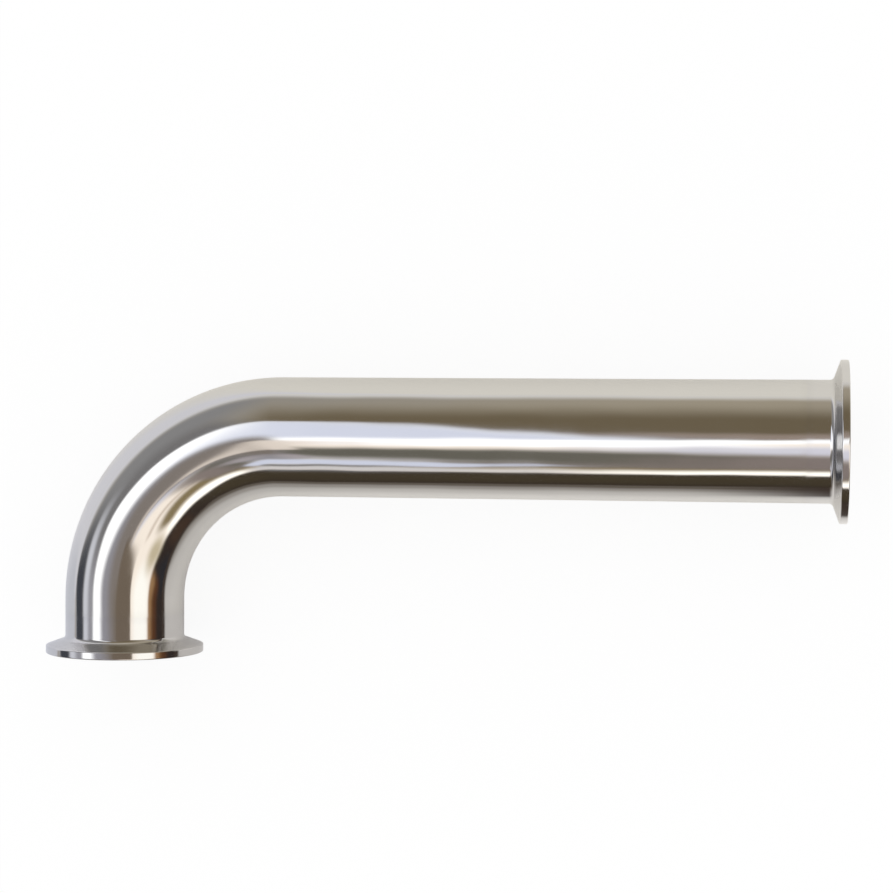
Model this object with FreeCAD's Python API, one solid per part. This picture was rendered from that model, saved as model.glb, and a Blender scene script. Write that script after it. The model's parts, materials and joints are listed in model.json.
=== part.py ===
"""Sanitary ninety degree clamp elbow with one long leg, in stainless steel tube.

The elbow is a weldment of three pieces. A thin-walled tube is bent once, so that
it has a very short straight end and a long one. A turned clamp ferrule is butt
welded to each end, and both welds are ground and polished flush.

It lies as it would be put down on a bench, with both legs in one level plane and
the rims of the two ferrules on the bench. All sizes are in millimetres. The origin
is the centre of the short leg's sealing face. +Y runs from that face up the short
leg to the bend, +X runs along the long leg to its port, and +Z points up.
"""

import FreeCAD
import Part
import math
import os

# The tube
TUBE_DIAMETER = 38.1          # outside diameter, inch and a half sanitary tube
TUBE_WALL = 1.65
BEND_RADIUS = 52.5            # to the tube's centreline
SHORT_STRAIGHT = 4.8          # straight tube between the bend and the short leg's weld
LONG_STRAIGHT = 164.8         # straight tube between the bend and the long leg's weld

# The clamp ferrules, both alike
FERRULE_LENGTH = 12.7         # from the sealing face to the weld
FLANGE_OVERHANG = 6.2         # how far the flange stands out past the tube
RIM_THICKNESS = 2.4           # the round edge of the flange, along its axis
BACK_TAPER_DEG = 20.0         # slope of the flange's back, which the clamp closes on
NECK_FILLET = 3.2             # between the neck and the tapered back
RIM_EDGE_BEVEL = 0.35         # both outer edges of the rim, back from each corner

# The gasket groove in each sealing face
OUTER_LAND = 1.85             # flat between the groove and the rim
GROOVE_WIDTH = 3.2            # where it opens in the sealing face
GROOVE_FLOOR_WIDTH = 1.4
GROOVE_DEPTH = 1.5

# Sizes that follow from the ones above
TUBE_RADIUS = TUBE_DIAMETER / 2
BORE_RADIUS = TUBE_RADIUS - TUBE_WALL
FLANGE_RADIUS = TUBE_RADIUS + FLANGE_OVERHANG
GROOVE_RADIUS = FLANGE_RADIUS - OUTER_LAND - GROOVE_WIDTH / 2
BEND_START_Y = FERRULE_LENGTH + SHORT_STRAIGHT
LONG_AXIS_Y = BEND_START_Y + BEND_RADIUS
LONG_WELD_X = BEND_RADIUS + LONG_STRAIGHT
LONG_FACE_X = LONG_WELD_X + FERRULE_LENGTH

SAME_POINT = 1e-7             # ends of an outline closer than this are one point


def vector(x, y, z=0.0):
    """A point or direction in the part's frame."""
    return FreeCAD.Vector(x, y, z)


def tube_path():
    """The tube's centreline: the short straight, a quarter circle and the long straight."""
    short_weld = vector(0, FERRULE_LENGTH)
    bend_start = vector(0, BEND_START_Y)
    bend_centre = vector(BEND_RADIUS, BEND_START_Y)
    halfway = BEND_RADIUS * math.sqrt(0.5)
    bend_middle = bend_centre + vector(-halfway, halfway)
    bend_end = vector(BEND_RADIUS, LONG_AXIS_Y)
    long_weld = vector(LONG_WELD_X, LONG_AXIS_Y)
    return Part.Wire([
        Part.LineSegment(short_weld, bend_start).toShape(),
        Part.Arc(bend_start, bend_middle, bend_end).toShape(),
        Part.LineSegment(bend_end, long_weld).toShape(),
    ])


def swept_rod(radius):
    """A solid round rod of the given radius along the tube's centreline."""
    start = vector(0, FERRULE_LENGTH)
    section = Part.Wire(Part.makeCircle(radius, start, vector(0, 1)))
    return tube_path().makePipeShell([section], True, False)


def bent_tube():
    """The tube: its outside form less its bore, both carried along one centreline."""
    return swept_rod(TUBE_RADIUS).cut(swept_rod(BORE_RADIUS)).Solids[0]


def beside_axis(radius, height):
    """A point of the ferrule's outline, at this radius and height about its axis."""
    return vector(radius, 0, height)


def rounded(before, corner, after, radius):
    """The arc that rounds a corner of an outline: its start, its middle and its end.

    Each end lies back from the corner by the radius over the tangent of half the
    corner's angle. The middle lies on the line that halves the corner, nearer to it
    than the arc's centre by the radius.
    """
    back = (before - corner).normalize()
    ahead = (after - corner).normalize()
    half_angle = back.getAngle(ahead) / 2
    setback = radius / math.tan(half_angle)
    inward = (back + ahead).normalize()
    middle = corner + inward * (radius / math.sin(half_angle) - radius)
    return [corner + back * setback, middle, corner + ahead * setback]


def bevelled(before, corner, after, setback):
    """The two sharp corners that a bevel leaves in place of one."""
    back = (before - corner).normalize()
    ahead = (after - corner).normalize()
    return [corner + back * setback], [corner + ahead * setback]


def gasket_groove():
    """The groove's four corners, from its inner edge over the flat floor to its outer."""
    half_width = GROOVE_WIDTH / 2
    half_floor = GROOVE_FLOOR_WIDTH / 2
    return [
        [beside_axis(GROOVE_RADIUS - half_width, 0)],
        [beside_axis(GROOVE_RADIUS - half_floor, -GROOVE_DEPTH)],
        [beside_axis(GROOVE_RADIUS + half_floor, -GROOVE_DEPTH)],
        [beside_axis(GROOVE_RADIUS + half_width, 0)],
    ]


def ferrule_outline():
    """The ferrule's corners and arc beside its axis, with its sealing face at height 0.

    They run from the bore across the face and its groove, round the rim, down the
    tapered back and along the neck to the weld.
    """
    taper_length = FLANGE_OVERHANG * math.tan(math.radians(BACK_TAPER_DEG))
    bore_front = beside_axis(BORE_RADIUS, 0)
    rim_front = beside_axis(FLANGE_RADIUS, 0)
    rim_back = beside_axis(FLANGE_RADIUS, -RIM_THICKNESS)
    neck_top = beside_axis(TUBE_RADIUS, -RIM_THICKNESS - taper_length)
    neck_end = beside_axis(TUBE_RADIUS, -FERRULE_LENGTH)
    bore_end = beside_axis(BORE_RADIUS, -FERRULE_LENGTH)
    return [
        [bore_front],
        *gasket_groove(),
        *bevelled(bore_front, rim_front, rim_back, RIM_EDGE_BEVEL),
        *bevelled(rim_front, rim_back, neck_top, RIM_EDGE_BEVEL),
        rounded(rim_back, neck_top, neck_end, NECK_FILLET),
        [neck_end],
        [bore_end],
    ]


def outline_face(corners):
    """The flat face inside an outline of sharp corners and arcs.

    A corner of one point is sharp, and one of three points is an arc. Straight edges
    join the end of each to the start of the next.
    """
    edges = []
    for corner, following in zip(corners, corners[1:] + corners[:1]):
        if len(corner) > 1:
            edges.append(Part.Arc(*corner).toShape())
        if corner[-1].distanceToPoint(following[0]) > SAME_POINT:
            edges.append(Part.LineSegment(corner[-1], following[0]).toShape())
    return Part.Face(Part.Wire(edges))


def clamp_ferrule():
    """One ferrule, turned about Z: sealing face at height 0 looking up, neck below."""
    outline = outline_face(ferrule_outline())
    return outline.revolve(vector(0, 0), vector(0, 0, 1), 360).Solids[0]


def on_port(ferrule, face_centre, outward):
    """A copy of the ferrule with its sealing face at a port, looking outward."""
    placed = ferrule.copy()
    placed.Placement = FreeCAD.Placement(
        face_centre, FreeCAD.Rotation(vector(0, 0, 1), outward)
    )
    return placed


def build():
    """Every piece of the elbow by name, in the part's frame."""
    ferrule = clamp_ferrule()
    return {
        "bent_tube": bent_tube(),
        "short_leg_ferrule": on_port(ferrule, vector(0, 0), vector(0, -1)),
        "long_leg_ferrule": on_port(
            ferrule, vector(LONG_FACE_X, LONG_AXIS_Y), vector(1, 0)
        ),
    }


os.makedirs("parts", exist_ok=True)
for name, piece in build().items():
    piece.exportStep(f"parts/{name}.step")
    print(name, "valid", piece.isValid(), "volume", round(piece.Volume, 1))
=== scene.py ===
# %% [markdown]
# # A sanitary ninety degree elbow with one long leg
#
# The real elbow is a weldment of three stainless steel pieces: a thin tube, bent once near one end,
# and a turned clamp ferrule on each end. The welds are ground flush and the whole outside is
# polished, so it shows almost nothing of its own. What the eye reads as the elbow is the room that
# it mirrors. So this lesson has two halves. The first makes three smooth surfaces with a good metal
# finish, and the second builds the room.
#
# Lengths are in metres. The origin is the centre of the short leg's sealing face, +Y runs up the
# short leg, +X runs along the long leg, and +Z is up.

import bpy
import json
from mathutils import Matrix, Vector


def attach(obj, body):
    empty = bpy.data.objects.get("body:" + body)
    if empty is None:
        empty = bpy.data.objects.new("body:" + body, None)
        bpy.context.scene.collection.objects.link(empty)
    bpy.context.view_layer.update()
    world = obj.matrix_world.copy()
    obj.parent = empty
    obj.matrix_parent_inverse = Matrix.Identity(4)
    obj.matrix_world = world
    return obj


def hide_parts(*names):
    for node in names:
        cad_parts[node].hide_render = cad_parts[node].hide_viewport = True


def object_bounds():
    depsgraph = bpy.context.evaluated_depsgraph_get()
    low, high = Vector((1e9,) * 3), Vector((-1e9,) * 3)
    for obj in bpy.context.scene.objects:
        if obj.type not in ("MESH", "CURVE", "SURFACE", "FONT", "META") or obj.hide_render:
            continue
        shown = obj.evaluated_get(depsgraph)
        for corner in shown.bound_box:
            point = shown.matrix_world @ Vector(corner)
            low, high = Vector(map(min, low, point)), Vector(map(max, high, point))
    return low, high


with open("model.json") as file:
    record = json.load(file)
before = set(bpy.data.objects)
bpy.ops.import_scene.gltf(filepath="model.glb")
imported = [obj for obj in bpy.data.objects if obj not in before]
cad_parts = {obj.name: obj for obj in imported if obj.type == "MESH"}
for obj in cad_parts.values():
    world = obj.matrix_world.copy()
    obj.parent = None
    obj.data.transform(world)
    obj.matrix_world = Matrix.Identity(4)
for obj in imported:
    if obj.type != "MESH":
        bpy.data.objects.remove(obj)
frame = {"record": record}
measured_box = [list(corner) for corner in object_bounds()]
print("measured box:", measured_box)

# %% [markdown]
# ## Sizes
#
# The measured elbow carries its interfaces with it: the bore, the rim and the face of each port,
# each with its place and its dimensions. Everything that the mounts say is taken from them, so the
# dressed elbow can't drift away from the measured one. Only what no mount says is written here.
# The neck's fillet is drawn tighter than the measured one, as it looks in the photograph.

# %% Sizes of the tube
import json
import math

import bpy
import numpy as np
from mathutils import Matrix, Vector

MM = 0.001
mounts = {mount["name"]: mount for mount in frame["record"]["mounts"]}
SHORT_FACE = np.array(mounts["short_port_bore"]["pos_m"], float)
LONG_FACE = np.array(mounts["long_port_bore"]["pos_m"], float)
SHORT_OUTWARD = np.array(mounts["short_port_bore"]["axis"], float)
LONG_OUTWARD = np.array(mounts["long_port_bore"]["axis"], float)
UP = np.array([0.0, 0.0, 1.0])

TUBE_WALL = 1.65 * MM
FERRULE_LENGTH = 12.7 * MM
BORE_RADIUS = mounts["short_port_bore"]["dims"]["r_mm"] * MM
TUBE_RADIUS = BORE_RADIUS + TUBE_WALL
BEND_START_Y = mounts["short_port_bore"]["dims"]["length_mm"] * MM
BEND_RADIUS = LONG_FACE[1] - BEND_START_Y
SHORT_STRAIGHT = BEND_START_Y - FERRULE_LENGTH
LONG_STRAIGHT = LONG_FACE[0] - BEND_RADIUS - FERRULE_LENGTH
BEND_LENGTH = BEND_RADIUS * math.pi / 2
TUBE_LENGTH = SHORT_STRAIGHT + BEND_LENGTH + LONG_STRAIGHT
print(
    "tube", round(TUBE_LENGTH / MM, 1), "mm long on its centreline,",
    "bend radius", round(BEND_RADIUS / MM, 1), "mm",
)

# %% Sizes of the ferrules
FLANGE_RADIUS = mounts["short_port_rim"]["dims"]["r_mm"] * MM
RIM_EDGE = 0.35 * MM
RIM_THICKNESS = mounts["short_port_rim"]["dims"]["length_mm"] * MM + 2 * RIM_EDGE
BACK_TAPER = math.radians(20)
NECK_FILLET = 1.5 * MM
GROOVE_RADIUS = 21.8 * MM
GROOVE_WIDTH = 3.2 * MM
GROOVE_FLOOR_WIDTH = 1.4 * MM
GROOVE_DEPTH = 1.5 * MM
GROOVE_FLOOR_FILLET = 0.35 * MM
GROOVE_LIP = 0.12 * MM
PORT_EDGE = 0.1 * MM
NECK_TOP = RIM_THICKNESS + (FLANGE_RADIUS - TUBE_RADIUS) * math.tan(BACK_TAPER)
print(
    "flange", round(2 * FLANGE_RADIUS / MM, 2), "mm across,",
    "its taper meets the neck", round(NECK_TOP / MM, 2), "mm back",
)

# %% [markdown]
# ## A closed shell from a grid
#
# The tube and the ferrules have one thing in common: each is a closed outline carried round or along
# something, and so each is a grid that closes on itself in both directions, like a ring doughnut.
# A cylinder with its ends filled in would need caps and poles, and those shade badly on a mirror.
# A doughnut grid has neither. One function therefore makes every piece, from whole numpy arrays.
#
# Polished metal shows every facet, so the faces are smooth shaded, and only the true edges, where
# two pieces meet at a weld, are kept sharp.

# %% Turn a doughnut grid into a piece
SHARP_ANGLE = math.radians(40)


def closed_quads(rows, columns):
    """Corner numbers of the quads of a grid that closes both ways.

    Corner (row, column) has the number row x columns + column, and the row after the last is the
    first again, as is the column after the last.
    """
    row, column = np.indices((rows, columns))
    next_row = (row + 1) % rows
    next_column = (column + 1) % columns
    corners = [
        row * columns + column,
        row * columns + next_column,
        next_row * columns + next_column,
        next_row * columns + column,
    ]
    return np.stack(corners, axis=-1).reshape(-1, 4)


def enclosed_volume(points, quads):
    """Volume inside a closed shell: the sum of the signed cones from the origin to each triangle.

    It comes out positive only if the faces point outwards.
    """
    a, b, c, d = (points[quads[:, corner]] for corner in range(4))
    cones = np.einsum("ij,ij->i", a, np.cross(b, c) + np.cross(c, d))
    return cones.sum() / 6


def make_piece(name, grid, **fields):
    """A smooth shaded object from a doughnut grid, with each field stored at its points."""
    points = grid.reshape(-1, 3)
    quads = closed_quads(*grid.shape[:2])
    mesh = bpy.data.meshes.new(name)
    mesh.vertices.add(len(points))
    mesh.vertices.foreach_set("co", points.ravel())
    mesh.loops.add(quads.size)
    mesh.loops.foreach_set("vertex_index", quads.ravel())
    mesh.polygons.add(len(quads))
    mesh.polygons.foreach_set("loop_start", np.arange(len(quads)) * 4)
    mesh.update(calc_edges=True)
    mesh.shade_smooth()
    mesh.set_sharp_from_angle(angle=SHARP_ANGLE)
    for field, values in fields.items():
        kind, key = ("FLOAT_VECTOR", "vector") if values.ndim == 3 else ("FLOAT", "value")
        stored = mesh.attributes.new(field, kind, "POINT")
        stored.data.foreach_set(key, values.ravel())
    piece = bpy.data.objects.new(name, mesh)
    bpy.context.scene.collection.objects.link(piece)
    volume = enclosed_volume(points, quads) / MM**3
    print(name, "has", 2 * len(quads), "triangles and", round(volume, 1), "mm3 of steel")
    return piece


print("a grid of 3 by 4 points closes into", len(closed_quads(3, 4)), "quads")

# %% [markdown]
# ## The bent tube
#
# On a real bender the tube starts straight and is wrapped round a former, so every ring of it stays
# a true circle. The surface is worked out in the same way. A point is first placed on a straight
# tube, by how far along it lies and by its angle round, and then the centreline carries it round
# the bend. A sweep along a curve object would do this too, but then the point's place on the
# straight tube would be lost, and the finish needs it: the polishing grain runs along the tube and
# follows it round the bend. So that place is stored at each point, as a field named unbent.

# %% Carry rings along the centreline
RINGS_ROUND = 192
BEND_RINGS = 112
STRAIGHT_RINGS = 40
SHORT_RINGS = 5


def stations():
    """Distances along the centreline at which the tube has a ring, densest in the bend."""
    bend_end = SHORT_STRAIGHT + BEND_LENGTH
    return np.concatenate([
        np.linspace(0, SHORT_STRAIGHT, SHORT_RINGS)[:-1],
        np.linspace(SHORT_STRAIGHT, bend_end, BEND_RINGS)[:-1],
        np.linspace(bend_end, TUBE_LENGTH, STRAIGHT_RINGS),
    ])


def bent(along, radius, angle):
    """Points of the bent tube from their place on the straight one.

    The centreline runs up +Y, turns by (distance past the bend's start) / (bend radius), from none
    to a quarter turn, and goes on along +X. The ring at each distance lies square to it, and its
    angle is counted from the outside of the bend towards +Z.
    """
    turned = np.clip((along - SHORT_STRAIGHT) / BEND_RADIUS, 0, math.pi / 2)
    before = np.minimum(along, SHORT_STRAIGHT)
    after = np.maximum(along - SHORT_STRAIGHT - BEND_LENGTH, 0)
    outward = radius * np.cos(angle)
    x = BEND_RADIUS * (1 - np.cos(turned)) + after - outward * np.cos(turned)
    y = FERRULE_LENGTH + before + (BEND_RADIUS + outward) * np.sin(turned)
    z = radius * np.sin(angle)
    return np.stack([x, y, z], axis=-1)


print("the tube has", 2 * len(stations()), "rings of", RINGS_ROUND, "points")

# %% Make the tube's shell
def tube_shell():
    """The tube's grid: out along its outside, over the end and back along its bore."""
    there = stations()
    along = np.concatenate([there, there[::-1]])[:, None]
    radius = np.repeat([TUBE_RADIUS, BORE_RADIUS], len(there))[:, None]
    angle = np.linspace(0, 2 * math.pi, RINGS_ROUND, endpoint=False)[None, :]
    unbent = np.stack(
        [along + 0 * angle, radius * np.cos(angle), radius * np.sin(angle)], axis=-1
    )
    return bent(along, radius, angle), unbent


tube_grid, tube_unbent = tube_shell()
tube = make_piece("polished_bent_tube", tube_grid, unbent=tube_unbent)
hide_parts("bent_tube")
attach(tube, "root")

# %% [markdown]
# ## The ferrules
#
# A clamp ferrule is turned on a lathe, so it is one outline carried round an axis. The outline is
# written as its few sharp corners, each with the radius that rounds it. Tools never leave a
# perfectly sharp edge, and on polished metal it is the small rounding that catches the light: the
# bright hairline along the rim is nothing else. Rounding in the outline is exact and costs a few
# points, where a Bevel modifier on the finished mesh would have to guess which edges to take.
#
# Between the arcs, the points of each straight crowd towards its ends. That keeps the smooth
# shading of an arc from spreading over the flat beside it.

# %% Round the corners of an outline
ARC_STEP = math.radians(10)
STRAIGHT_STEP = 0.9 * MM


def unit(vector):
    """The vector's direction, with a length of one."""
    return vector / np.linalg.norm(vector)


def corner_arc(before, corner, after, radius):
    """Points of the arc that rounds one corner.

    It touches both sides at radius / tan(half the corner's angle) from the corner, and its centre
    lies on the line that halves the corner, at radius / sin(half the angle). A corner with no
    rounding stays one point.
    """
    if radius == 0:
        return corner[None, :]
    back, ahead = unit(before - corner), unit(after - corner)
    half = math.acos(np.clip(back @ ahead, -1, 1)) / 2
    centre = corner + unit(back + ahead) * radius / math.sin(half)
    start = corner + back * radius / math.tan(half) - centre
    turn = math.copysign(math.pi - 2 * half, back[1] * ahead[0] - back[0] * ahead[1])
    angle = np.linspace(0, turn, max(2, math.ceil(abs(turn) / ARC_STEP) + 1))[:, None]
    across = np.array([-start[1], start[0]])
    return centre + start * np.cos(angle) + across * np.sin(angle)


def straight_between(start, end):
    """Points between two arcs, crowded towards both ends: half of (1 - cosine) of an even step."""
    count = max(3, math.ceil(np.linalg.norm(end - start) / STRAIGHT_STEP) + 3)
    share = (1 - np.cos(np.linspace(0, math.pi, count)[1:-1, None])) / 2
    return start + (end - start) * share


def rounded_outline(corners):
    """Points once round an outline, given as (radius, height, rounding) of each corner."""
    points = np.array([corner[:2] for corner in corners], float)
    roundings = [corner[2] for corner in corners]
    arcs = [
        corner_arc(before, corner, after, rounding)
        for before, corner, after, rounding in zip(
            np.roll(points, 1, axis=0), points, np.roll(points, -1, axis=0), roundings
        )
    ]
    runs = []
    for arc, following in zip(arcs, arcs[1:] + arcs[:1]):
        runs += [arc, straight_between(arc[-1], following[0])]
    return np.concatenate(runs)


# %% Write the ferrule's outline
def ferrule_outline():
    """The ferrule's outline: its radius, and its height below the sealing face as a negative.

    It goes from the bore across the face and the gasket groove, round the rim, down the tapered
    back, through the neck's fillet to the weld, and back up the bore.
    """
    half_groove = GROOVE_WIDTH / 2
    half_floor = GROOVE_FLOOR_WIDTH / 2
    return rounded_outline([
        (BORE_RADIUS, 0, PORT_EDGE),
        (GROOVE_RADIUS - half_groove, 0, GROOVE_LIP),
        (GROOVE_RADIUS - half_floor, -GROOVE_DEPTH, GROOVE_FLOOR_FILLET),
        (GROOVE_RADIUS + half_floor, -GROOVE_DEPTH, GROOVE_FLOOR_FILLET),
        (GROOVE_RADIUS + half_groove, 0, GROOVE_LIP),
        (FLANGE_RADIUS, 0, RIM_EDGE),
        (FLANGE_RADIUS, -RIM_THICKNESS, RIM_EDGE),
        (TUBE_RADIUS, -NECK_TOP, NECK_FILLET),
        (TUBE_RADIUS, -FERRULE_LENGTH, 0),
        (BORE_RADIUS, -FERRULE_LENGTH, 0),
    ])


outline = ferrule_outline()
print("the ferrule's outline has", len(outline), "points")

# %% [markdown]
# Which tool finished which part of a ferrule follows from where it is. The tapered back and the
# sealing face keep the satin of a turning tool, while the rim and the neck are buffed bright. That
# is a number from 0, bright, to 1, satin, along the outline, and it is stored at the points too.

# %% Turn the outline into the two ferrules
SATIN_FADE = 0.6 * MM
FERRULE_ROUND = 224


def satin_share(radius, height):
    """How satin the ferrule is: 1 on the tapered back and the face, fading to 0 on rim and neck."""
    off_rim = np.clip((FLANGE_RADIUS - RIM_EDGE - radius) / SATIN_FADE, 0, 1)
    off_neck = np.clip((radius - TUBE_RADIUS - SATIN_FADE) / SATIN_FADE, 0, 1)
    on_back = (height < -RIM_THICKNESS) * off_neck
    on_face = height > -GROOVE_DEPTH - RIM_EDGE
    in_bore = radius < BORE_RADIUS + RIM_EDGE
    return off_rim * np.where(on_face & ~in_bore, 1.0, on_back)


def turned_piece(name, outline, face_centre, outward):
    """The outline carried once round the port's axis, with its sealing face at the port.

    A point at radius, height and angle lies at face centre + height x outward
    + radius x (cosine x sideways + sine x up).
    """
    sideways = np.cross(outward, UP)
    radius, height = outline[:, :1], outline[:, 1:]
    angle = np.linspace(0, 2 * math.pi, FERRULE_ROUND, endpoint=False)[None, :]
    on_lathe = np.stack(
        [radius * np.cos(angle), radius * np.sin(angle), height + 0 * angle], axis=-1
    )
    axes = np.stack([sideways, UP, outward])
    grid = face_centre + on_lathe @ axes
    satin = satin_share(radius, height) + 0 * angle
    return make_piece(name, grid, on_lathe=on_lathe, satin=satin)


ferrules = {
    "short_leg_ferrule": turned_piece("turned_short_leg_ferrule", outline, SHORT_FACE, SHORT_OUTWARD),
    "long_leg_ferrule": turned_piece("turned_long_leg_ferrule", outline, LONG_FACE, LONG_OUTWARD),
}
for node, ferrule in ferrules.items():
    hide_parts(node)
    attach(ferrule, "root")

# %% [markdown]
# ## Small tools for nodes
#
# A finish is a graph of nodes. A few short helpers keep the next cells readable. They add a node and
# fill its inputs, do a sum, lay one colour over another, and open a new node group with named
# sockets.

# %% Add nodes and do sums
NODE_SPACING = 180


def add(tree, kind, inputs=None, **settings):
    """A new node, each input either linked to a socket or set to a plain value."""
    node = tree.nodes.new("ShaderNode" + kind)
    node.location = (NODE_SPACING * len(tree.nodes), 0)
    for name, value in settings.items():
        setattr(node, name, value)
    for key, value in (inputs or {}).items():
        if isinstance(value, bpy.types.NodeSocket):
            tree.links.new(value, node.inputs[key])
        else:
            node.inputs[key].default_value = value
    return node


def maths(tree, operation, *values):
    """The result of one Math node."""
    node = add(tree, "Math", dict(enumerate(values)), operation=operation)
    return node.outputs["Value"]


def vectors(tree, operation, *values, result="Vector"):
    """The result of one Vector Math node."""
    node = add(tree, "VectorMath", dict(enumerate(values)), operation=operation)
    return node.outputs[result]


def length(tree, vector):
    """How long a vector is."""
    return vectors(tree, "LENGTH", vector, result="Value")


def scaled(tree, vector, factor):
    """A vector times a number."""
    node = add(tree, "VectorMath", {0: vector, "Scale": factor}, operation="SCALE")
    return node.outputs["Vector"]


def split(tree, vector):
    """The X, Y and Z of a vector, by name."""
    return add(tree, "SeparateXYZ", {"Vector": vector}).outputs


def joined(tree, x, y, z):
    """A vector from its three numbers."""
    return add(tree, "CombineXYZ", {"X": x, "Y": y, "Z": z}).outputs["Vector"]


def noise(tree, place, detail, roughness, scale=1.0):
    """Soft noise from 0 to 1, with some finer layers, each weaker by the roughness."""
    inputs = {"Vector": place, "Scale": scale, "Detail": detail, "Roughness": roughness}
    return add(tree, "TexNoise", inputs).outputs["Fac"]


def soft_step(tree, value):
    """0 below 0, 1 above 1, and a smooth rise between them."""
    node = add(tree, "MapRange", {"Value": value}, interpolation_type="SMOOTHSTEP")
    return node.outputs["Result"]


# %% Mix colours and open groups
# A Mix node has sockets for every kind of value. These are the ones for colours.
MIX_SHARE, MIX_BELOW, MIX_ABOVE, MIX_RESULT = 0, 6, 7, 2


def mix_colours(tree, share, below, above):
    """The colour above laid over the colour below by its share."""
    inputs = {MIX_SHARE: share, MIX_BELOW: below, MIX_ABOVE: above}
    return add(tree, "Mix", inputs, data_type="RGBA").outputs[MIX_RESULT]


def open_group(name, inputs, outputs):
    """A new shader node group, and the sockets that it is given and that it gives back."""
    group = bpy.data.node_groups.new(name, "ShaderNodeTree")
    for socket, (kind, value) in inputs.items():
        made = group.interface.new_socket(socket, in_out="INPUT", socket_type="NodeSocket" + kind)
        if value is not None:
            made.default_value = value
    for socket, kind in outputs.items():
        group.interface.new_socket(socket, in_out="OUTPUT", socket_type="NodeSocket" + kind)
    start = group.nodes.new("NodeGroupInput")
    end = group.nodes.new("NodeGroupOutput")
    return group, start.outputs, end.inputs


def place_group(tree, group, inputs):
    """The outputs of the group, placed as one node with its inputs filled."""
    return add(tree, "Group", inputs, node_tree=group).outputs


# %% [markdown]
# ## What polishing leaves on steel
#
# Polished stainless is not a perfect mirror. Belts leave a fine grain, the wall keeps a slight
# waviness from bending and grinding, hands leave a little haze, and where a weld was dressed off
# the surface is a touch duller. Both materials show these, so each one is a node group, built once.
#
# The grain is noise that is stretched: short across the lines and long along them. On the tube the
# lines run along it. On a ferrule the tool's lines run round it, so they depend only on the radius
# and the height, and the same group draws both when it is given the right place to read.

# %% Group: grain of a belt or a tool
STREAK_SHARE = (0.6, 0.12, 0.12)


def build_grain():
    """Noise read at the place divided by the line's length in X, and by its spacing in Y and Z.

    The streaks are such noise too, read at a share of that place, so they are broader.
    """
    group, given, gives = open_group(
        "fine grain",
        {
            "Place": ("Vector", None),
            "Line Length": ("Float", 30 * MM),
            "Line Spacing": ("Float", 0.3 * MM),
        },
        {"Height": "Float", "Streaks": "Float"},
    )
    spacing = given["Line Spacing"]
    size = joined(group, given["Line Length"], spacing, spacing)
    stretched = vectors(group, "DIVIDE", given["Place"], size)
    wider = vectors(group, "MULTIPLY", stretched, STREAK_SHARE)
    group.links.new(noise(group, stretched, detail=2, roughness=0.6), gives["Height"])
    group.links.new(noise(group, wider, detail=1, roughness=0.5), gives["Streaks"])
    return group


grain = build_grain()
print("group", grain.name, "with", len(grain.nodes), "nodes")

# %% Group: slow waviness of a dressed wall
def build_waviness():
    """Two layers of soft noise, stretched along X, the direction in which the tube was drawn."""
    group, given, gives = open_group(
        "slow waviness",
        {
            "Place": ("Vector", None),
            "Wave Length": ("Float", 30 * MM),
            "Wave Width": ("Float", 12 * MM),
        },
        {"Height": "Float"},
    )
    width = given["Wave Width"]
    size = joined(group, given["Wave Length"], width, width)
    stretched = vectors(group, "DIVIDE", given["Place"], size)
    group.links.new(noise(group, stretched, detail=1, roughness=0.4), gives["Height"])
    return group


waviness = build_waviness()
print("group", waviness.name, "with", len(waviness.nodes), "nodes")

# %% Group: haze from handling
HAZE_RISE = 4.0


def build_haze():
    """Patches where soft noise is over a threshold: (noise - threshold) x rise, smoothed."""
    group, given, gives = open_group(
        "handling haze",
        {
            "Place": ("Vector", None),
            "Patch Size": ("Float", 20 * MM),
            "Threshold": ("Float", 0.5),
        },
        {"Haze": "Float"},
    )
    place = scaled(group, given["Place"], maths(group, "DIVIDE", 1.0, given["Patch Size"]))
    patches = noise(group, place, detail=3, roughness=0.55)
    over = maths(group, "SUBTRACT", patches, given["Threshold"])
    risen = soft_step(group, maths(group, "MULTIPLY", over, HAZE_RISE))
    group.links.new(risen, gives["Haze"])
    return group


haze = build_haze()
print("group", haze.name, "with", len(haze.nodes), "nodes")

# %% Group: band where a weld was dressed flush
WANDER_SCALE = 260.0
WANDER_LEAST = 0.6
WANDER_SPREAD = 0.8


def build_weld_band():
    """1 at the weld, fading to 0 over a width that wanders: width x (least + spread x noise)."""
    group, given, gives = open_group(
        "dressed weld",
        {
            "Distance": ("Float", 0.0),
            "Place": ("Vector", None),
            "Width": ("Float", 3 * MM),
        },
        {"Band": "Float"},
    )
    wander = noise(group, given["Place"], detail=2, roughness=0.5, scale=WANDER_SCALE)
    uneven = maths(group, "MULTIPLY_ADD", wander, WANDER_SPREAD, WANDER_LEAST)
    width = maths(group, "MULTIPLY", given["Width"], uneven)
    away = maths(group, "DIVIDE", given["Distance"], width)
    band = soft_step(group, maths(group, "SUBTRACT", 1.0, away))
    group.links.new(band, gives["Band"])
    return group


weld_band = build_weld_band()
print("group", weld_band.name, "with", len(weld_band.nodes), "nodes")

# %% [markdown]
# ## Two finishes of stainless steel
#
# Bare steel has no colour under its shine: all that comes back is the reflection, tinted by the
# metal. So Metallic is plainly 1, the base colour is how much of each colour steel gives back, and
# roughness is how far polishing went. The patterns only move roughness by a few hundredths and tilt
# the surface by a fraction of a degree. More than that, and it stops looking like polished steel.
# The bore is the exception: no belt reaches round the bend, so it keeps a dull, brushed finish.

# %% Start a steel material
def steel_colour(slot):
    """The slot's own base colour, as the Principled shader takes it."""
    (found,) = [one for one in frame["record"]["materials"] if one["slot"] == slot]
    return (*found["base_color"], 1.0)


def new_steel(name):
    """An empty material with a Principled shader of bare metal."""
    material = bpy.data.materials.new(name)
    material.use_nodes = True
    tree = material.node_tree
    shader = tree.nodes["Principled BSDF"]
    shader.inputs["Metallic"].default_value = 1.0
    return material, tree, shader


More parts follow.
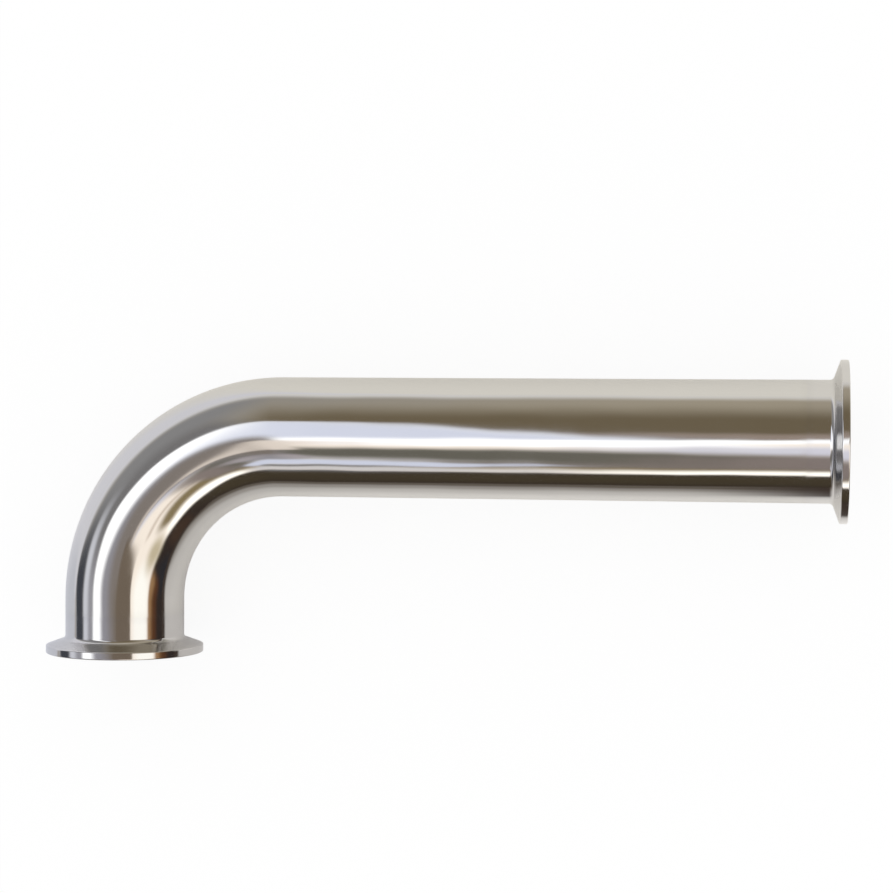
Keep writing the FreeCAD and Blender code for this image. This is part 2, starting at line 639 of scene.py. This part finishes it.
def stored(tree, field, result="Vector"):
    """A field that the mesh keeps at its points."""
    node = add(tree, "Attribute", attribute_name=field, attribute_type="GEOMETRY")
    return node.outputs[result]


def bump(tree, height, distance, under=None):
    """A Bump node: the height, in metres at full rise, over what was there before."""
    inputs = {"Height": height, "Distance": distance, "Strength": 1.0}
    if under is not None:
        inputs["Normal"] = under
    return add(tree, "Bump", inputs).outputs["Normal"]


print("steel gives back", steel_colour("polished_tube")[:3])

# %% What both finishes share
HAZE_THRESHOLD = 0.5
HAZE_ROUGHENS = 0.025
WELD_WIDTH = 3 * MM
WELD_ROUGHENS = 0.03
WELD_SHADE = 0.97
BORE_ROUGHNESS = 0.36


def haze_and_weld(tree, rough, place, patch_size, to_weld):
    """The roughness so far with haze and the weld's band added to it, and that band."""
    smears = place_group(tree, haze, {
        "Place": place, "Patch Size": patch_size, "Threshold": HAZE_THRESHOLD,
    })
    weld = place_group(tree, weld_band, {"Distance": to_weld, "Place": place, "Width": WELD_WIDTH})
    rough = maths(tree, "MULTIPLY_ADD", smears["Haze"], HAZE_ROUGHENS, rough)
    rough = maths(tree, "MULTIPLY_ADD", weld["Band"], WELD_ROUGHENS, rough)
    return rough, weld["Band"]


def bore_roughness(tree, rough, radius):
    """The roughness so far, but at least that of the bore wherever the radius is the bore's."""
    in_bore = maths(tree, "LESS_THAN", radius, BORE_RADIUS + PORT_EDGE / 2)
    return maths(tree, "MAXIMUM", rough, maths(tree, "MULTIPLY", in_bore, BORE_ROUGHNESS))


def link_steel(tree, shader, slot, rough, band, normal):
    """The shader filled: roughness, normal, and the slot's colour, a shade darker on the weld."""
    steel = steel_colour(slot)
    dulled = (*(WELD_SHADE * part for part in steel[:3]), 1.0)
    tree.links.new(mix_colours(tree, band, steel, dulled), shader.inputs["Base Color"])
    tree.links.new(rough, shader.inputs["Roughness"])
    tree.links.new(normal, shader.inputs["Normal"])


# %% Polished tube
TUBE_ROUGHNESS = 0.085
TUBE_STREAKS = 0.04
TUBE_GRAIN = {"Line Length": 30 * MM, "Line Spacing": 0.4 * MM}
TUBE_GRAIN_HEIGHT = 0.0015 * MM
TUBE_WAVES = {"Wave Length": 30 * MM, "Wave Width": 12 * MM}
TUBE_WAVE_HEIGHT = 0.2 * MM
TUBE_PATCH = 20 * MM


def polished_tube_steel():
    """The tube's finish: lengthwise grain that follows the bend, read from the unbent place."""
    material, tree, shader = new_steel("polished stainless tube")
    place = stored(tree, "unbent")
    radius = length(tree, vectors(tree, "MULTIPLY", place, (0.0, 1.0, 1.0)))
    lines = place_group(tree, grain, {"Place": place, **TUBE_GRAIN})
    waves = place_group(tree, waviness, {"Place": place, **TUBE_WAVES})
    from_middle = maths(tree, "SUBTRACT", split(tree, place)["X"], TUBE_LENGTH / 2)
    to_weld = maths(tree, "SUBTRACT", TUBE_LENGTH / 2, maths(tree, "ABSOLUTE", from_middle))
    least = TUBE_ROUGHNESS - TUBE_STREAKS / 2
    rough = maths(tree, "MULTIPLY_ADD", lines["Streaks"], TUBE_STREAKS, least)
    rough, band = haze_and_weld(tree, rough, place, TUBE_PATCH, to_weld)
    rough = bore_roughness(tree, rough, radius)
    wavy = bump(tree, waves["Height"], TUBE_WAVE_HEIGHT)
    grained = bump(tree, lines["Height"], TUBE_GRAIN_HEIGHT, wavy)
    link_steel(tree, shader, "polished_tube", rough, band, grained)
    return material


tube.data.materials.append(polished_tube_steel())
print("the tube wears", tube.data.materials[0].name)

# %% Turned ferrule
BRIGHT_ROUGHNESS = 0.08
SATIN_ROUGHNESS = 0.18
FERRULE_STREAKS = 0.03
RING_GRAIN = {"Line Length": 60 * MM, "Line Spacing": 0.18 * MM}
RING_HEIGHT = 0.004 * MM
BUFFED_RINGS = 0.15
FERRULE_WAVES = {"Wave Length": 20 * MM, "Wave Width": 20 * MM}
FERRULE_WAVE_HEIGHT = 0.02 * MM
FERRULE_PATCH = 15 * MM


def turned_ferrule_steel():
    """The ferrules' finish: rings left by the tool where satin, buffed bright elsewhere.

    The rings read a place whose Y is the radius and whose Z is the height, so that nothing changes
    round the piece but a slow drift. Buffing leaves a share of their height.
    """
    material, tree, shader = new_steel("turned stainless ferrule")
    place = stored(tree, "on_lathe")
    satin = stored(tree, "satin", "Fac")
    parts = split(tree, place)
    radius = length(tree, vectors(tree, "MULTIPLY", place, (1.0, 1.0, 0.0)))
    ring_place = joined(tree, parts["X"], radius, parts["Z"])
    rings = place_group(tree, grain, {"Place": ring_place, **RING_GRAIN})
    waves = place_group(tree, waviness, {"Place": place, **FERRULE_WAVES})
    to_weld = maths(tree, "ADD", parts["Z"], FERRULE_LENGTH)
    satin_adds = SATIN_ROUGHNESS - BRIGHT_ROUGHNESS
    rough = maths(tree, "MULTIPLY_ADD", satin, satin_adds, BRIGHT_ROUGHNESS)
    rough = maths(tree, "MULTIPLY_ADD", rings["Streaks"], FERRULE_STREAKS, rough)
    rough, band = haze_and_weld(tree, rough, place, FERRULE_PATCH, to_weld)
    rough = bore_roughness(tree, rough, radius)
    left = maths(tree, "MULTIPLY_ADD", satin, 1 - BUFFED_RINGS, BUFFED_RINGS)
    ring_height = maths(tree, "MULTIPLY", rings["Height"], left)
    wavy = bump(tree, waves["Height"], FERRULE_WAVE_HEIGHT)
    ringed = bump(tree, ring_height, RING_HEIGHT, wavy)
    link_steel(tree, shader, "turned_ferrule", rough, band, ringed)
    return material


ferrule_steel = turned_ferrule_steel()
for ferrule in ferrules.values():
    ferrule.data.materials.append(ferrule_steel)
print("the ferrules wear", ferrule_steel.name)

# %% [markdown]
# ## The room that the steel mirrors
#
# Three kinds of ray ask the world for a colour, and each gets its own answer. The camera sees plain
# white. Matt surfaces are lit by the same even white, so a colour renders about as it is written.
# Mirror rays see the studio: windows, walls, a dark side, and the small things that stood about.
#
# The studio is a painting on the sky, flattened into a round map. The point straight above is the
# map's middle, and a direction's distance from the middle is its angle from straight above, in
# degrees. East is +X and north is +Y. On that map each thing is one soft shape, laid over the ones
# before it, and its colour is written as it shows in the steel, which is easier to judge than the
# light itself. The light is that colour divided by what steel gives back.

# %% Group: the round map of the sky
LEAST_REACH = 1e-5


def build_sky_map():
    """East and north on the map: the direction's level part, scaled to its angle from overhead.

    The angle is the arctangent of that part's length over the rise, in degrees. The length has a
    least value, so that nothing is divided by zero straight above.
    """
    group, given, gives = open_group("sky map", {"Direction": ("Vector", None)}, {"Place": "Vector"})
    rise = split(group, given["Direction"])["Z"]
    level = vectors(group, "MULTIPLY", given["Direction"], (1.0, 1.0, 0.0))
    reach = maths(group, "MAXIMUM", length(group, level), LEAST_REACH)
    angle = maths(group, "DEGREES", maths(group, "ARCTAN2", reach, rise))
    placed = scaled(group, level, maths(group, "DIVIDE", angle, reach))
    group.links.new(placed, gives["Place"])
    return group


sky_map = build_sky_map()
print("group", sky_map.name, "with", len(sky_map.nodes), "nodes")

# %% Groups: three soft shapes on the map
def open_shape(name, more):
    """A new group for a shape's mask, and in it the place on the map less the shape's centre."""
    sockets = {"Place": ("Vector", None), "Centre": ("Vector", None), "Soft": ("Float", 6.0)}
    group, given, gives = open_group(name, {**sockets, **more}, {"Mask": "Float"})
    offset = vectors(group, "SUBTRACT", given["Place"], given["Centre"])
    return group, given, gives, offset


def close_shape(group, given, gives, inside):
    """The mask from how far inside the edge a place lies: distance / softness + half, smoothed."""
    share = maths(group, "DIVIDE", inside, given["Soft"])
    mask = soft_step(group, maths(group, "ADD", share, 0.5))
    group.links.new(mask, gives["Mask"])
    return group


def build_soft_oval():
    """Inside an oval: (1 - distance from its centre in half sizes) x its smaller half size."""
    sockets = {"Half Size": ("Vector", (10, 10, 1))}
    group, given, gives, offset = open_shape("soft oval", sockets)
    ratio = length(group, vectors(group, "DIVIDE", offset, given["Half Size"]))
    half = split(group, given["Half Size"])
    least = maths(group, "MINIMUM", half["X"], half["Y"])
    inside = maths(group, "MULTIPLY", maths(group, "SUBTRACT", 1.0, ratio), least)
    return close_shape(group, given, gives, inside)


def build_soft_panel():
    """Inside a turned rectangle with round corners: corner radius - distance past its inner box."""
    sockets = {
        "Inner Half": ("Vector", (10, 10, 0)), "Turn": ("Float", 0.0), "Corner": ("Float", 4.0),
    }
    group, given, gives, offset = open_shape("soft panel", sockets)
    back = maths(group, "MULTIPLY", given["Turn"], -1.0)
    turned = add(group, "VectorRotate", {"Vector": offset, "Angle": back}, rotation_type="Z_AXIS")
    one_quarter = vectors(group, "ABSOLUTE", turned.outputs["Vector"])
    past = vectors(group, "SUBTRACT", one_quarter, given["Inner Half"])
    outside = length(group, vectors(group, "MAXIMUM", past, (0.0, 0.0, 0.0)))
    return close_shape(group, given, gives, maths(group, "SUBTRACT", given["Corner"], outside))


def build_soft_side():
    """On one side of a line through the centre: how far the place lies in the given direction."""
    sockets = {"Toward": ("Vector", (1, 0, 0))}
    group, given, gives, offset = open_shape("soft side", sockets)
    ahead = vectors(group, "DOT_PRODUCT", offset, given["Toward"], result="Value")
    return close_shape(group, given, gives, ahead)


soft_oval, soft_panel, soft_side = build_soft_oval(), build_soft_panel(), build_soft_side()
print("shapes:", soft_oval.name, "/", soft_panel.name, "/", soft_side.name)

# %% Open the world and its map
WHITE = (1.0, 1.0, 1.0, 1.0)
scene = bpy.context.scene
world = bpy.data.worlds.new("studio")
scene.world = world
world.use_nodes = True
# Rays find the world by themselves, so it isn't sampled as a lamp.
world.cycles.sampling_method = "NONE"
sky = world.node_tree
sky.nodes.clear()
direction = add(sky, "TexCoord").outputs["Generated"]
on_map = place_group(sky, sky_map, {"Direction": direction})["Place"]
print("world", world.name, "is open")

# %% Masks on the map
def oval(centre, half, soft, place=on_map, tree=sky):
    """Mask of a soft oval on the map, in degrees."""
    inputs = {"Place": place, "Centre": (*centre, 0), "Half Size": (*half, 1), "Soft": soft}
    return place_group(tree, soft_oval, inputs)["Mask"]


def panel(centre, half, turn, corner, soft, place=on_map, tree=sky):
    """Mask of a soft rectangle on the map, turned anticlockwise by degrees."""
    inputs = {
        "Place": place, "Centre": (*centre, 0), "Inner Half": (half[0] - corner, half[1] - corner, 1),
        "Turn": math.radians(turn), "Corner": corner, "Soft": soft,
    }
    return place_group(tree, soft_panel, inputs)["Mask"]


def side(through, toward, soft, place=on_map, tree=sky):
    """Mask of the side of a line that lies toward a bearing, anticlockwise from east."""
    heading = math.radians(toward)
    ahead = (math.cos(heading), math.sin(heading), 0)
    inputs = {"Place": place, "Centre": (*through, 0), "Toward": ahead, "Soft": soft}
    return place_group(tree, soft_side, inputs)["Mask"]


def beyond(centre, half, soft):
    """Mask of everything outside a soft oval."""
    return maths(sky, "SUBTRACT", 1.0, oval(centre, half, soft))


def inside_all(masks, tree=sky):
    """The mask of what lies inside every one of the masks: their product."""
    share = masks[0]
    for mask in masks[1:]:
        share = maths(tree, "MULTIPLY", share, mask)
    return share


# %% Colours as they show in the steel
def light_for(shown, brightness=1.0):
    """The light that shows in the steel as this colour, of 0 to 255 a channel on the screen.

    The screen's curve takes the colour to a linear scale: in proportion near black, and above that
    by a power. The light is the linear colour over what steel gives back, times the brightness.
    """
    screen = np.array(shown) / 255
    linear = np.where(screen <= 0.04045, screen / 12.92, ((screen + 0.055) / 1.055) ** 2.4)
    light = linear / np.array(steel_colour("polished_tube")[:3]) * brightness
    return (*light, 1.0)


def hang(behind, thing, shown, *masks, brightness=1.0, tree=sky):
    """A thing of one colour hung in front of what is there, inside all of its masks."""
    light = light_for(shown, brightness)
    colour = mix_colours(tree, inside_all(masks, tree), behind, light)
    colour.node.label = thing
    return colour


print("white shows for a light of", np.round(light_for((255, 255, 255))[:3], 2))

# %% [markdown]
# The far things come first. The sky low down is pale all round, cooler in the west and darker in
# the south. Inside it stand the walls, warm in the north and grey in the west. Round where the
# window will hang the wall is darker, brown in the east and grey in the west, and two spots on the
# walls are paler.

# %% Paint the walls
walls = oval((6, -5), (93, 90), 13)
room = light_for((200, 196, 187))
room = hang(room, "cool west", (200, 199, 201), side((-20, 0), 180, 110))
room = hang(room, "darker south", (184, 176, 168), side((20, -20), -60, 90))
room = hang(room, "warm walls", (152, 143, 126), walls)
room = hang(room, "grey west wall", (129, 128, 128), walls, side((-30, 10), 170, 36))
room = hang(room, "brown wall", (103, 92, 73), oval((0, 16), (42, 41), 36), side((-19, 0), 0, 14))
room = hang(room, "paler spot", (142, 128, 117), oval((2, 8), (8, 7), 8))
room = hang(room, "grey wall", (112, 110, 110), oval((-14, 0), (46, 46), 24), side((-20, 30), 212, 12))
room = hang(room, "paler spot in the west", (146, 145, 150), oval((-54, -9), (7, 12), 8))
print("nodes with the walls:", len(sky.nodes))

# %% [markdown]
# The west wall has a strip of light with a dark opening below it. Both are rings on the map, an
# oval less a smaller one, cut off in the north. The whole south east of the room is dark, with
# three patches in it that are browner or greyer, and two brown edges divide that dark from the
# window.

# %% Open the west wall and darken the south east
room = hang(
    room, "strip of light", (198, 199, 205),
    oval((0, 0), (70, 70), 7), beyond((0, 0), (59, 59), 9), side((-60, 16), -90, 24),
)
room = hang(
    room, "dark opening", (60, 62, 68),
    oval((0, -2), (91, 88), 6), beyond((0, 0), (71.5, 71), 6),
    side((-75, 15), -90, 34), side((-40, 0), 180, 10),
)
room = hang(room, "dark south east", (48, 40, 36), oval((6, -6), (96, 93), 12), side((22, -26), -48, 26))
room = hang(room, "olive patch", (64, 56, 43), oval((0, -78), (28, 14), 20))
room = hang(room, "grey patch", (42, 41, 44), oval((82, -32), (14, 18), 16))
room = hang(room, "brown patch", (62, 48, 39), oval((56, -66), (14, 14), 14))
room = hang(room, "brown edge", (84, 54, 35), panel((71, -12), (8, 14), 12, 8, 10))
room = hang(room, "light brown edge", (146, 112, 78), panel((60.5, -10), (8, 16), 12, 6, 9))
print("nodes with the dark side:", len(sky.nodes))

# %% [markdown]
# Then the two windows. The cream one in the south east is brightest in the east and along its
# sill, and pales to the left. A beige blind, a thin cream lath and a grey hem hang in it, and a long
# olive streak with a grey start runs along its foot. The white one in the north west has a lavender
# blind over its upper part.

# %% Hang the cream window
cream_pane = oval((5, -12.5), (55.5, 57), 6)
cream_frame = side((-16, -30), -4, 6)
cream_sill = side((0, -65.3), 80, 5)
cream_top = side((0, -1), -90, 5)
bright_east = oval((46, -8), (14, 14), 12)
room = hang(room, "cream window", (247, 235, 221), cream_pane, cream_frame, cream_top, cream_sill)
room = hang(room, "bright east", (255, 252, 243), cream_pane, bright_east, cream_top)
room = hang(
    room, "bright sill", (255, 250, 240),
    cream_pane, cream_sill, beyond((6, -8), (62, 46), 8), side((-6, -60), 0, 8),
    side((46, -50), -150, 20), side((0, -36), -90, 20), brightness=1.25,
)
room = hang(room, "beige blind", (190, 177, 149), oval((48, -33), (9, 10), 12))
room = hang(room, "cream lath", (208, 193, 178), panel((16, -32.5), (12, 2), 30, 1.8, 4))
room = hang(
    room, "grey hem", (203, 199, 198),
    cream_pane, cream_frame, cream_sill, side((-7, -50), 180, 8), side((0, -30), -90, 20),
)
room = hang(room, "olive streak", (130, 115, 85), panel((12, -47), (24, 7), 14, 7, 9))
room = hang(room, "grey start of the streak", (116, 108, 101), oval((-2, -46), (8, 7.5), 7))
print("nodes with one window:", len(sky.nodes))

# %% Hang the white window
white_pane = inside_all([oval((-13, -1.5), (34.5, 31.2), 5), side((-30, 22), -54, 4)])
white_frame = inside_all([side((-8.3, 17), 197, 4), side((-10, -13), 90, 5)])
blind = inside_all([white_pane, white_frame, side((-19.5, 10), 0, 15), side((0, 0), 90, 8)])
room = hang(room, "white window", (255, 255, 255), white_pane, white_frame, brightness=1.15)
room = hang(room, "lavender blind", (209, 213, 228), blind)
print("nodes with both windows:", len(sky.nodes))

# %% [markdown]
# Last, what hangs almost straight above: one white panel, a wide and a narrow lavender shade, an
# olive coat between them, a tan board beside it, a small cream lamp and a grey rail.

# %% Hang what is overhead
white_panel = panel((-2, -1.6), (13, 2.8), 39, 2.6, 3)
room = hang(room, "white panel", (255, 255, 255), white_panel, brightness=1.1)
room = hang(room, "wide lavender shade", (208, 207, 216), oval((1, -18), (6, 9), 7))
room = hang(room, "olive coat", (98, 95, 86), panel((-7, -31.5), (14, 9), -50, 8, 9))
room = hang(room, "tan board", (128, 117, 112), oval((2, -40), (5, 13), 6))
room = hang(room, "cream lamp", (226, 210, 196), oval((-15.5, -10), (4, 5), 5))
room = hang(room, "narrow lavender shade", (205, 209, 225), panel((-13, -48), (6.5, 3.6), -42, 3, 3))
room = hang(room, "grey rail", (118, 116, 113), panel((-17, -54), (5, 2), 0, 2, 3))
print("nodes with what is overhead:", len(sky.nodes))

# %% Give each kind of ray its answer
sky_rays = add(sky, "LightPath").outputs
answer = mix_colours(sky, sky_rays["Is Glossy Ray"], WHITE, room)
background = add(sky, "Background", {"Color": answer, "Strength": 1.0}).outputs["Background"]
add(sky, "OutputWorld", {"Surface": background})
print("the room is painted with", len(sky.nodes), "nodes")

# %% [markdown]
# ## Three flat things on the stage
#
# The sky is endlessly far away, so both legs see the same spot of it in the same direction. What is
# near has to be a real thing, a level rectangle at its height. There are three: the board that the
# elbow lies on, and two small cards that hang over the short leg.

# %% Lay a level rectangle
MILLIMETRES = (1 / MM, 1 / MM, 0.0)


def level_sheet(name, west, east, south, north, height):
    """A flat rectangle that faces up, with its object at the origin."""
    corners = [
        (west, south, height), (east, south, height), (east, north, height), (west, north, height),
    ]
    mesh = bpy.data.meshes.new(name)
    mesh.from_pydata(corners, [], [(0, 1, 2, 3)])
    sheet = bpy.data.objects.new(name, mesh)
    scene.collection.objects.link(sheet)
    print(name, "spans", [round(size, 2) for size in sheet.dimensions[:2]], "m")
    return sheet


def stage_paint(name):
    """An empty material, and where its masks are read: millimetres east and north of the origin."""
    material = bpy.data.materials.new(name)
    material.use_nodes = True
    tree = material.node_tree
    tree.nodes.clear()
    place = vectors(tree, "MULTIPLY", add(tree, "TexCoord").outputs["Object"], MILLIMETRES)
    return material, tree, {"place": place, "tree": tree}


# %% [markdown]
# The board is pale in its own right, and takes the soft shadow of what lies on it. To the camera it
# is mostly a plain white glow, so that it runs into the white background without an edge and keeps
# only a gentle shadow. The metal mirrors the board, and that is the light band below the dark one on
# each leg. Its own colour is a shade warmer than white. For every ray but the camera's, light and
# shade are painted on it: painted light by the long leg, cool painted light in the west and a cool
# painted shade west of the port, painted shade that darkens it bit by bit towards the south, and a
# dark painted shade in its south east, where it lies in the dark side of the room.

# %% Lay the white board
BOARD_EDGES = (-0.9, 0.62, -0.5, 0.95)
GLOW_SHARE = 0.9


def board_painted_light_and_shade(here):
    """Name, colour and masks of each patch of painted light and painted shade on the board, the first
    lowest.
    """
    return (
        # Painted light: the board south of the long leg is made lighter where the elbow shades it.
        ("painted light by the long leg", (216, 212, 206), side((0, 44), -90, 24, **here)),
        # Painted shade: the board is greyer further south.
        ("painted shade further south", (188, 184, 179), side((0, 14), -90, 40, **here)),
        # Painted light: a cool light from the west on the board.
        ("painted cool light in the west", (199, 198, 202), side((-20, 30), 180, 100, **here)),
        # Painted shade, deeper towards the south and darkest far south.
        ("painted dim shade in the south", (146, 141, 135), side((0, -32), -90, 60, **here)),
        ("painted dark shade far south", (92, 85, 77), side((60, -135), -75, 130, **here)),
        # Painted shade: a darker, cool patch on the board west of the short port.
        ("painted cool shade west of the port", (184, 185, 191), oval((-160, -5), (150, 50), 40, **here)),
        # Painted shade: the board's south east is darkened where it lies in the dark side of the room.
        (
            "dark south east", (58, 49, 43),
            side((205, 0), 0, 70, **here), side((0, 2), -90, 24, **here),
        ),
    )


def board_paint():
    """Matt paint with painted light and shade that changes slowly from place to place, mixed with a
    white glow for the camera.
    """
    material, tree, here = stage_paint("white board")
    paint = light_for((206, 202, 193))
    # Painted light and painted shade laid over the board's own warm white, seen by every ray but the
    # camera's.
    for thing, shown, *masks in board_painted_light_and_shade(here):
        paint = hang(paint, thing, shown, *masks, tree=tree)
    rays = add(tree, "LightPath").outputs
    seen = mix_colours(tree, rays["Is Camera Ray"], paint, WHITE)
    matt = add(tree, "BsdfDiffuse", {"Color": seen}).outputs["BSDF"]
    glow = add(tree, "Emission", {"Color": WHITE, "Strength": 1.0}).outputs["Emission"]
    share = maths(tree, "MULTIPLY", rays["Is Camera Ray"], GLOW_SHARE)
    mixed = add(tree, "MixShader", {0: share, 1: matt, 2: glow}).outputs["Shader"]
    add(tree, "OutputMaterial", {"Surface": mixed})
    return material


board = level_sheet("white_board", *BOARD_EDGES, measured_box[0][2])
board.data.materials.append(board_paint())

# %% [markdown]
# Two cards hang over the short leg, low enough that it and the bend each see another part of them.
# The long leg's mirror rays pass beside both, but for those from its very start, which meet the
# high card's clear east edge. A card is clear film, and its sheets are soft shapes again, laid one
# over the other. Only mirror rays see them.

# %% Sheets of the two cards
def high_sheets(here):
    """Name, colour and masks of five sheets, the first at the back."""
    in_west = side((20, 0), 180, 10, **here)
    return (
        ("grey in the west", (141, 139, 144), oval((18, 5), (99, 66), 24, **here), in_west),
        ("warm over it", (124, 116, 110), oval((6, 22), (44, 50), 40, **here), in_west),
        ("cream", (222, 210, 198), panel((20.5, 31), (7, 25.5), 3, 5, 6, **here)),
        ("mauve", (162, 155, 157), oval((21, -38), (6, 15), 7, **here)),
        (
            "brown", (110, 99, 86),
            panel((0, -7), (15, 14), 0, 6, 5, **here), side((-4, 0), 0, 30, **here),
        ),
    )


def low_sheets(here):
    """One brown sheet, which ends where the short leg starts to mirror the window."""
    return (
        (
            "brown", (107, 95, 82),
            panel((16.4, 11), (12.5, 21), 0, 2, 3, **here), side((29, 16), 239, 3, **here),
        ),
    )


# %% Hang the two cards
HIGH_CARD_EDGES = (-0.16, 0.1, -0.1, 0.1)
HIGH_CARD_HEIGHT = 0.15
LOW_CARD_EDGES = (-0.01, 0.04, -0.02, 0.04)
LOW_CARD_HEIGHT = 0.06
UNSEEN_BY = ("camera", "diffuse", "transmission", "volume_scatter", "shadow")


def card_paint(name, sheets):
    """Clear film, with each sheet over it as a plain glow that fades to nothing at its edges."""
    material, tree, here = stage_paint(name)
    card = add(tree, "BsdfTransparent").outputs["BSDF"]
    for thing, shown, *masks in sheets(here):
        glow = add(tree, "Emission", {"Color": light_for(shown), "Strength": 1.0}, label=thing)
        share = inside_all(masks, tree)
        inputs = {0: share, 1: card, 2: glow.outputs["Emission"]}
        card = add(tree, "MixShader", inputs).outputs["Shader"]
    add(tree, "OutputMaterial", {"Surface": card})
    return material


for name, edges, height, sheets in (
    ("high_card", HIGH_CARD_EDGES, HIGH_CARD_HEIGHT, high_sheets),
    ("low_card", LOW_CARD_EDGES, LOW_CARD_HEIGHT, low_sheets),
):
    card = level_sheet(name, *edges, height)
    card.data.materials.append(card_paint(name, sheets))
    for kind in UNSEEN_BY:
        setattr(card, "visible_" + kind, False)

# %% [markdown]
# ## The camera
#
# The photograph was taken from almost straight above, with a long lens, from a little east of the
# elbow's middle. So the steel's flanges are seen nearly edge on, and a touch of the tapered back
# shows on each. The camera stands there and looks at a point between the legs.

# %% Set up the camera
CAMERA_PLACE = Vector((0.2085, 0.0834, 0.665))
LOOKS_AT = Vector((0.1052, 0.0674, 0.0))
CAMERA_ROLL = math.radians(0.34)
LENS = 85.82
SENSOR = 36.0


def add_camera():
    """A camera that looks at a point with +Y upwards in the picture, then rolls a little."""
    lens = bpy.data.cameras.new("camera")
    lens.sensor_width = SENSOR
    lens.lens = LENS
    lens.clip_start = 0.01
    camera = bpy.data.objects.new("camera", lens)
    scene.collection.objects.link(camera)
    back = (CAMERA_PLACE - LOOKS_AT).normalized()
    right = Vector((0, 1, 0)).cross(back).normalized()
    up = back.cross(right)
    upright = Matrix((right, up, back)).transposed()
    rolled = upright @ Matrix.Rotation(CAMERA_ROLL, 3, "Z")
    camera.matrix_world = Matrix.Translation(CAMERA_PLACE) @ rolled.to_4x4()
    scene.camera = camera
    return camera


camera = add_camera()
scene.view_settings.view_transform = "Standard"
print("camera", [round(value, 3) for value in camera.location])
